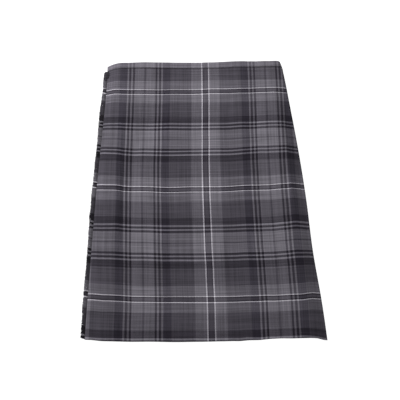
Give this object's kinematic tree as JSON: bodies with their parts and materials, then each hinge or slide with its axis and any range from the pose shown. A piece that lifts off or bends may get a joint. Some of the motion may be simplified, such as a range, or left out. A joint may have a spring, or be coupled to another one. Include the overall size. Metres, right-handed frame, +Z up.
{
  "type": "scottish kilt",
  "caption": "Knee-length pleated wool kilt laid flat, a wrap-round skirt with overlapping aprons, a fringed edge and a narrow waistband.",
  "frame": {"origin": "bottom centre of the bounding box, on the surface that the kilt lies on", "axes": "+Z up from the surface, through the pleated back to the outer apron; +Y from hem to waist; +X towards the wearer's left, which is the viewer's right when the front is looked at"},
  "size_m": [0.452, 0.605, 0.0145],
  "materials": {
    "tartan_wool": "matt twill-woven worsted wool in a grey check",
    "band_wool": "the same wool folded double and stitched down",
    "fringe_wool": "loose unwoven yarn ends of the same wool"
  },
  "bodies": {
    "root": {"outer_apron": "tartan_wool", "under_apron": "tartan_wool", "pleated_back": "tartan_wool", "waistband_front": "band_wool", "waistband_under": "band_wool", "waistband_back": "band_wool", "apron_fringe": "fringe_wool"}
  },
  "joints": []
}
